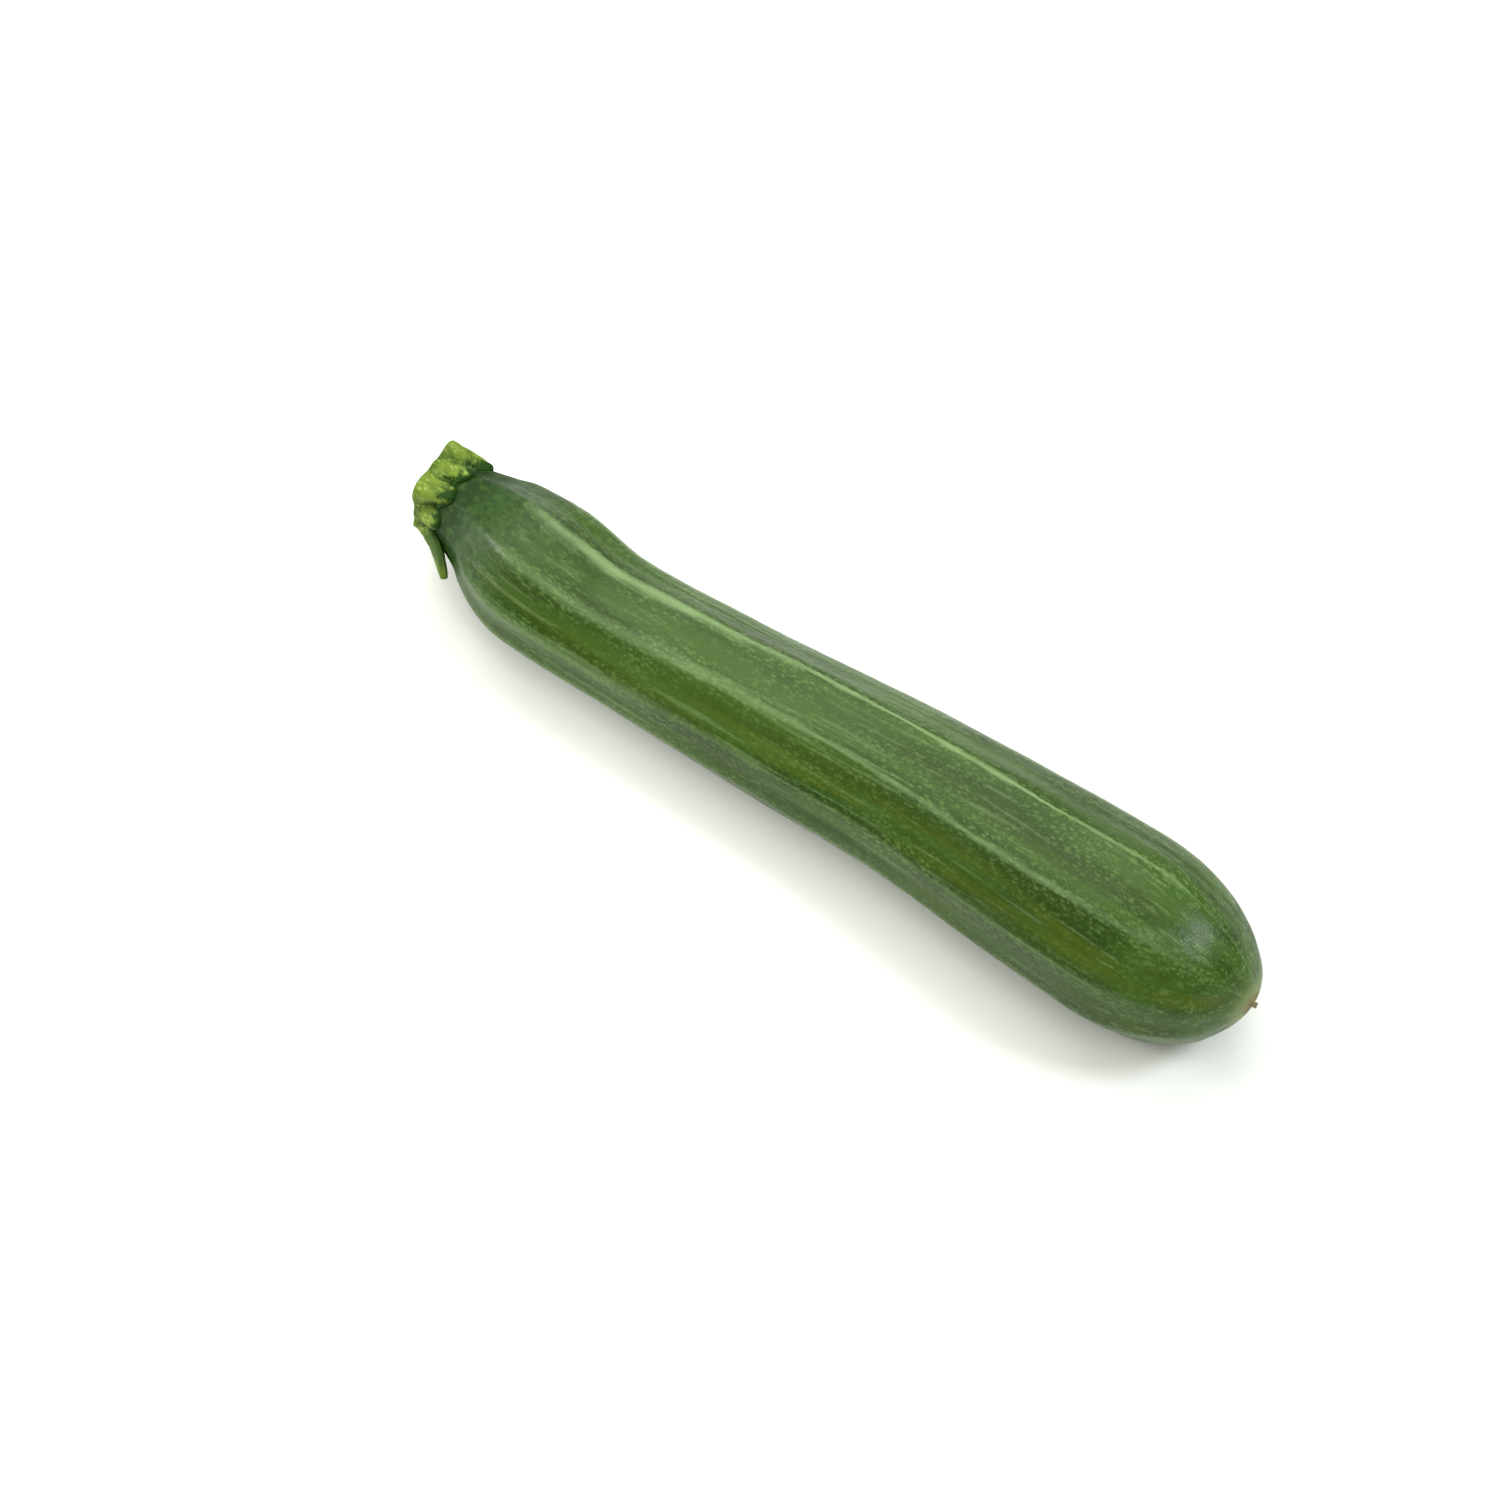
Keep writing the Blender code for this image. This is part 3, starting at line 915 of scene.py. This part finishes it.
class Graph:
    """Short ways to add nodes to one material."""

    def __init__(self, name):
        self.material = bpy.data.materials.new(name)
        self.material.use_nodes = True
        self.nodes = self.material.node_tree.nodes
        self.shader = self.nodes["Principled BSDF"]

    def feed(self, value, socket):
        """Feeds a socket from another node's socket, or sets it to a number or colour."""
        if isinstance(value, bpy.types.NodeSocket):
            self.material.node_tree.links.new(value, socket)
        elif isinstance(value, tuple):
            socket.default_value = (*value, 1.0)
        else:
            socket.default_value = value

    def stored(self, name):
        """The node that reads what is stored per point of the mesh."""
        node = self.nodes.new("ShaderNodeAttribute")
        node.attribute_name = name
        return node

    def math(self, operation, first, second=0.0):
        """A sum, product or other operation on two numbers."""
        node = self.nodes.new("ShaderNodeMath")
        node.operation = operation
        self.feed(first, node.inputs[0])
        self.feed(second, node.inputs[1])
        return node.outputs[0]

    def scaled(self, vector, along, across):
        """A vector divided by a length along the zucchini and a width across it."""
        node = self.nodes.new("ShaderNodeVectorMath")
        node.operation = "DIVIDE"
        self.feed(vector, node.inputs[0])
        node.inputs[1].default_value = (along, across, across)
        return node.outputs[0]

    def ramp(self, value, low, high, start=0.0, end=1.0):
        """Runs smoothly from start to end as the value goes from low to high."""
        node = self.nodes.new("ShaderNodeMapRange")
        node.interpolation_type = "SMOOTHSTEP"
        self.feed(value, node.inputs["Value"])
        self.feed(low, node.inputs["From Min"])
        self.feed(high, node.inputs["From Max"])
        self.feed(start, node.inputs["To Min"])
        self.feed(end, node.inputs["To Max"])
        return node.outputs[0]

    def mix(self, part, first, second):
        """A colour that is a part of the way from the first to the second."""
        node = self.nodes.new("ShaderNodeMix")
        node.data_type = "RGBA"
        self.feed(part, node.inputs[0])
        self.feed(first, node.inputs[MIX_FIRST])
        self.feed(second, node.inputs[MIX_SECOND])
        return node.outputs[MIX_RESULT]

    def noise(self, vector, along, across, detail=DETAIL):
        """Smooth noise from 0 to 1 with patches of this length and width."""
        node = self.nodes.new("ShaderNodeTexNoise")
        self.feed(self.scaled(vector, along, across), node.inputs["Vector"])
        node.inputs["Scale"].default_value = 1.0
        node.inputs["Detail"].default_value = detail
        return node.outputs[0]

    def cells(self, vector, along, across):
        """Distance from the middles of scattered cells of this length and width."""
        node = self.nodes.new("ShaderNodeTexVoronoi")
        self.feed(self.scaled(vector, along, across), node.inputs["Vector"])
        node.inputs["Scale"].default_value = 1.0
        return node.outputs["Distance"]

    def set(self, name, value):
        """Sets one of the shader's own numbers."""
        self.shader.inputs[name].default_value = value

    def bump(self, height, depth):
        """Tilts the shading as if the surface had this relief."""
        node = self.nodes.new("ShaderNodeBump")
        node.inputs["Distance"].default_value = depth
        self.feed(height, node.inputs["Height"])
        self.feed(node.outputs[0], self.shader.inputs["Normal"])


def green_bands(graph, spot, distance):
    """The skin's green in long bands, which are olive on some facets."""
    bands = graph.noise(spot, *BAND_PATCH)
    colour = graph.mix(graph.ramp(bands, *BAND_RAMP), SKIN_DARK, SKIN_MIDDLE)
    streaks = graph.noise(spot, *STREAK_PATCH)
    olive = graph.stored("olive").outputs["Fac"]
    olive_part = graph.math("MULTIPLY", graph.ramp(streaks, *STREAK_RAMP), olive)
    olive_part = graph.math("MULTIPLY", olive_part, graph.ramp(distance, *OLIVE_BY_DISTANCE))
    return graph.mix(olive_part, colour, SKIN_OLIVE)


def skin_flecks(graph, spot):
    """1 in the middle of the big flecks, less in the small ones and 0 beside them."""
    big_flecks = graph.ramp(graph.cells(spot, *BIG_FLECK_PATCH), *FLECK_RAMP)
    small_flecks = graph.ramp(graph.cells(spot, *SMALL_FLECK_PATCH), *FLECK_RAMP)
    small_flecks = graph.math("MULTIPLY", small_flecks, SMALL_FLECK_PART)
    return graph.math("MAXIMUM", big_flecks, small_flecks)


def ridge_lines_and_sheen(graph, spot, distance, off_ridge, uneven):
    """How much there is of the uneven pale lines on the ridges, partly painted highlight, wider
    near the stem.
    """
    wider = graph.ramp(distance, *LINE_WIDER_BY_DISTANCE)
    line_width = graph.math("ADD", graph.ramp(uneven, *LINE_WIDTH), wider)
    line = graph.ramp(off_ridge, 0.0, line_width, 1.0, 0.0)
    line = graph.math("MULTIPLY", line, graph.ramp(distance, *LINE_START))
    line = graph.math("MULTIPLY", line, graph.ramp(distance, *LINE_END))
    breaks = graph.noise(spot, *LINE_BREAK_PATCH)
    line = graph.math("MULTIPLY", line, graph.ramp(breaks, *LINE_STRENGTH))
    return graph.math("MULTIPLY", line, graph.stored("paleness_and_sheen").outputs["Fac"])


def darker_neck_and_shade(graph, spot, distance, colour):
    """The skin's colour, turned darker and blotched over the shoulder and the neck, with painted
    shade just behind the stem's feet.
    """
    blotches = graph.noise(spot, *BLOTCH_PATCH)
    shoulder_edge = graph.math("ADD", distance, graph.math("MULTIPLY", blotches, SHOULDER_RAGGED))
    colour = graph.mix(graph.ramp(shoulder_edge, *SHOULDER_RAMP), colour, SKIN_SHOULDER)
    # Dark green over the neck, partly painted shade behind the stem's feet
    neck_edge = graph.math("ADD", distance, graph.math("MULTIPLY", blotches, NECK_RAGGED))
    colour = graph.mix(graph.ramp(neck_edge, *NECK_SHADE_RAMP), colour, SKIN_NECK_AND_SHADE)
    small_blotches = graph.noise(spot, *SMALL_BLOTCH_PATCH, FINE_DETAIL)
    near_neck = graph.ramp(distance, *BLOTCHES_BY_DISTANCE)
    pale_blotches = graph.ramp(small_blotches, *PALE_BLOTCH_RAMP)
    colour = graph.mix(graph.math("MULTIPLY", near_neck, pale_blotches), colour, SKIN_MIDDLE)
    dark_blotches = graph.ramp(small_blotches, *DARK_BLOTCH_RAMP)
    return graph.mix(graph.math("MULTIPLY", near_neck, dark_blotches), colour, SKIN_NECK_AND_SHADE)


def skin_material():
    """The fruit's waxy skin: green bands, pale flecks, pale ridge lines with painted highlight, a
    corky scar.
    """
    graph = Graph("green_skin")
    spot = graph.stored("straight").outputs["Vector"]
    off_ridge = graph.stored("off_ridge").outputs["Fac"]
    from_tip = graph.stored("from_tip").outputs["Fac"]
    along = graph.nodes.new("ShaderNodeSeparateXYZ")
    graph.feed(spot, along.inputs[0])
    distance = along.outputs[0]

    colour = green_bands(graph, spot, distance)
    flecks = skin_flecks(graph, spot)
    density = graph.ramp(graph.noise(spot, *FLECK_GROUP_PATCH), *FLECK_DENSITY)
    density = graph.math("ADD", density, graph.ramp(off_ridge, *FLECKS_BY_RIDGE))
    colour = graph.mix(graph.math("MULTIPLY", flecks, density), colour, SKIN_FLECK)
    fine_streaks = graph.ramp(graph.noise(spot, *FINE_STREAK_PATCH), *FINE_STREAK_RAMP)
    colour = graph.mix(fine_streaks, colour, SKIN_LINE_AND_SHEEN)
    uneven = graph.noise(spot, *LINE_EDGE_PATCH)
    # Pale lines on the ridges, partly a painted highlight
    lines = ridge_lines_and_sheen(graph, spot, distance, off_ridge, uneven)
    colour = graph.mix(lines, colour, SKIN_LINE_AND_SHEEN)
    colour = darker_neck_and_shade(graph, spot, distance, colour)

    tip_edge = graph.math("ADD", from_tip, graph.math("MULTIPLY", uneven, TIP_RAGGED))
    colour = graph.mix(graph.ramp(tip_edge, *TIP_RAMP), colour, SKIN_TIP)
    cork = graph.mix(graph.noise(spot, *CORK_PATCH), SCAR_TAN, SCAR_BROWN)
    on_scar = graph.ramp(tip_edge, *SCAR_RAMP)
    colour = graph.mix(on_scar, colour, cork)
    graph.feed(colour, graph.shader.inputs["Base Color"])

    wax = graph.noise(spot, *WAX_PATCH, FINEST_DETAIL)
    rough = graph.ramp(wax, *SKIN_ROUGHNESS)
    rough = graph.math("ADD", rough, graph.math("MULTIPLY", on_scar, SCAR_ROUGHER))
    rough = graph.math("ADD", rough, graph.ramp(distance, *NECK_ROUGHER))
    graph.feed(rough, graph.shader.inputs["Roughness"])
    graph.set("Specular IOR Level", SKIN_SPECULAR)
    graph.set("Coat Weight", SKIN_COAT)
    graph.set("Coat Roughness", SKIN_COAT_ROUGHNESS)

    pores = graph.noise(spot, *PORE_PATCH, FINE_DETAIL)
    height = graph.math("ADD", pores, graph.math("MULTIPLY", flecks, FLECK_BUMP_PART))
    graph.bump(height, SKIN_BUMP)
    return graph.material


def stem_side_colour(graph, place, zone, mottle):
    """Speckled ribs, darker furrows and dark green feet ends, both partly painted shade, and the
    loose strip.
    """
    on_rib = graph.stored("rib").outputs["Fac"]
    rib_mottle = graph.ramp(mottle, *RIB_MOTTLE)
    rib_part = graph.math("ADD", graph.ramp(on_rib, *RIB_RAMP), rib_mottle)
    # Darker furrows between the ribs: their own green and painted shade
    colour = graph.mix(rib_part, FURROW_GREEN_AND_SHADE, RIB_COLOUR)
    specks = graph.ramp(graph.cells(place, *SPECK_PATCH), *SPECK_RAMP)
    specks = graph.math("MULTIPLY", specks, graph.ramp(mottle, *SPECK_DENSITY))
    colour = graph.mix(specks, colour, BUNDLE_COLOUR)
    fibres = graph.ramp(graph.noise(place, *FIBRE_PATCH), *FIBRE_RAMP)
    colour = graph.mix(fibres, colour, BUNDLE_COLOUR)
    # Dark ends of the feet: their own dark green and painted shade where they meet the neck
    foot_zone = graph.math("ADD", zone, graph.ramp(mottle, *FOOT_RAGGED))
    colour = graph.mix(graph.ramp(foot_zone, *FOOT_SHADE_RAMP), colour, FOOT_GREEN_AND_SHADE)

    peel = graph.stored("peel").outputs["Fac"]
    across = graph.ramp(peel, *STRIP_ACROSS)
    on_strip = graph.math("MULTIPLY", across, graph.ramp(zone, *STRIP_ALONG))
    colour = graph.mix(on_strip, colour, STRIP_COLOUR)
    across = graph.ramp(peel, *STRIP_MIDDLE_ACROSS)
    strip_middle = graph.math("MULTIPLY", across, graph.ramp(zone, *STRIP_MIDDLE_ALONG))
    return graph.mix(strip_middle, colour, RIB_COLOUR)


def cut_face_colour(graph, zone, mottle):
    """A white-green middle, green flesh and a darker rim, with ragged edges between them."""
    ragged = graph.math("ADD", zone, graph.ramp(mottle, *CUT_RAGGED))
    colour = graph.mix(graph.ramp(ragged, *CUT_FLESH_RAMP), CUT_MIDDLE, CUT_FLESH)
    return graph.mix(graph.ramp(ragged, *CUT_RIM_RAMP), colour, CUT_RIM)


def stem_material():
    """The stem: a speckled green side and a pale cut face."""
    graph = Graph("pale_stem")
    place = graph.nodes.new("ShaderNodeTexCoord").outputs["Object"]
    zone = graph.stored("zone").outputs["Fac"]
    mottle = graph.noise(place, *MOTTLE_PATCH, FINE_DETAIL)
    side = stem_side_colour(graph, place, zone, mottle)
    face = cut_face_colour(graph, zone, mottle)
    colour = graph.mix(graph.ramp(zone, *CUT_END_RAMP), face, side)
    graph.feed(colour, graph.shader.inputs["Base Color"])
    graph.feed(graph.ramp(mottle, *STEM_ROUGHNESS), graph.shader.inputs["Roughness"])
    graph.set("Specular IOR Level", STEM_SPECULAR)
    graph.bump(graph.noise(place, *GRAIN_PATCH, FINEST_DETAIL), STEM_BUMP)
    return graph.material


def hair_material():
    """Pale stiff plant hairs."""
    graph = Graph("stem_hair")
    place = graph.nodes.new("ShaderNodeTexCoord").outputs["Object"]
    varied = graph.noise(place, *HAIR_PATCH)
    graph.feed(graph.mix(varied, RIB_COLOUR, HAIR_COLOUR), graph.shader.inputs["Base Color"])
    graph.set("Roughness", HAIR_ROUGHNESS)
    return graph.material


def direction(azimuth, elevation):
    """Unit vector towards a place: azimuth 0 is -Y and 90 is +X."""
    a = radians(azimuth)
    e = radians(elevation)
    return Vector((sin(a) * cos(e), -cos(a) * cos(e), sin(e)))


def turn_to(item, backward):
    """Turns a camera or a light so that it looks against a direction."""
    item.rotation_mode = "QUATERNION"
    item.rotation_quaternion = (-backward).to_track_quat("-Z", "Y")


def make_camera():
    """The camera, at the photograph's viewing angle."""
    data = bpy.data.cameras.new("camera")
    data.lens = CAMERA_LENS
    data.sensor_width = SENSOR_WIDTH
    camera = bpy.data.objects.new("camera", data)
    bpy.context.scene.collection.objects.link(camera)
    backward = direction(CAMERA_AZIMUTH, CAMERA_ELEVATION)
    right = Vector((cos(radians(CAMERA_AZIMUTH)), sin(radians(CAMERA_AZIMUTH)), 0))
    up = backward.cross(right)
    camera.location = LOOK_AT + right * AIM_RIGHT + up * AIM_UP + backward * CAMERA_DISTANCE
    turn_to(camera, backward)
    bpy.context.scene.camera = camera


def make_floor():
    """A plain pale floor, with painted shade that darkens it far from the zucchini."""
    half = FLOOR_SIZE / 2
    corners = [(-half, -half, 0), (half, -half, 0), (half, half, 0), (-half, half, 0)]
    data = bpy.data.meshes.new("floor")
    data.from_pydata([Vector(corner) for corner in corners], [], [(0, 1, 2, 3)])
    graph = Graph("pale_floor")
    place = graph.nodes.new("ShaderNodeTexCoord").outputs["Object"]
    length = graph.nodes.new("ShaderNodeVectorMath")
    length.operation = "LENGTH"
    graph.feed(place, length.inputs[0])
    # Painted shade, darker far from the zucchini as the lamps' light falls off
    far = graph.ramp(length.outputs["Value"], *FLOOR_SHADE_FADE)
    graph.feed(graph.mix(far, FLOOR_COLOUR, FLOOR_FAR_SHADE), graph.shader.inputs["Base Color"])
    graph.set("Roughness", FLOOR_ROUGHNESS)
    graph.set("Specular IOR Level", FLOOR_SPECULAR)
    data.materials.append(graph.material)
    made = bpy.data.objects.new("floor", data)
    made.location.z = -FLOOR_DROP
    bpy.context.scene.collection.objects.link(made)


def make_sky():
    """White light from all round, brighter from behind and above the zucchini."""
    world = bpy.data.worlds.new("studio")
    world.use_nodes = True
    nodes = world.node_tree.nodes
    links = world.node_tree.links
    towards = nodes.new("ShaderNodeTexCoord")
    brightness = nodes.new("ShaderNodeVectorMath")
    brightness.operation = "DOT_PRODUCT"
    brightness.inputs[1].default_value = direction(*SKY_BRIGHT_SIDE)
    strength = nodes.new("ShaderNodeMapRange")
    strength.interpolation_type = "SMOOTHSTEP"
    strength.inputs["From Min"].default_value = SKY_TURN
    strength.inputs["To Min"].default_value = SKY_DIM
    strength.inputs["To Max"].default_value = SKY_BRIGHT
    background = nodes["Background"]
    background.inputs["Color"].default_value = (1.0, 1.0, 1.0, 1.0)
    links.new(towards.outputs["Generated"], brightness.inputs[0])
    links.new(brightness.outputs["Value"], strength.inputs["Value"])
    links.new(strength.outputs[0], background.inputs["Strength"])
    bpy.context.scene.world = world


def make_lamp(name, azimuth, elevation, distance, width, power, colour):
    """A large soft lamp that shines on the zucchini."""
    data = bpy.data.lights.new(name, "AREA")
    data.shape = "SQUARE"
    data.size = width
    data.energy = power
    data.color = colour
    lamp = bpy.data.objects.new(name, data)
    backward = direction(azimuth, elevation)
    lamp.location = LOOK_AT + backward * distance
    turn_to(lamp, backward)
    bpy.context.scene.collection.objects.link(lamp)


def main():
    """Makes the pieces, the camera, the floor and the light."""
    make_camera()
    make_floor()
    make_sky()
    for name, placing in LAMPS.items():
        make_lamp(name, *placing)
    fruit = make_fruit(skin_material())
    stem = make_stem(stem_material())
    hairs = make_hairs(hair_material())
    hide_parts("fruit")
    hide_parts("stem")
    for piece in (fruit, stem, hairs):
        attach(piece, "root")
    bpy.context.scene.view_settings.view_transform = "Standard"


main()
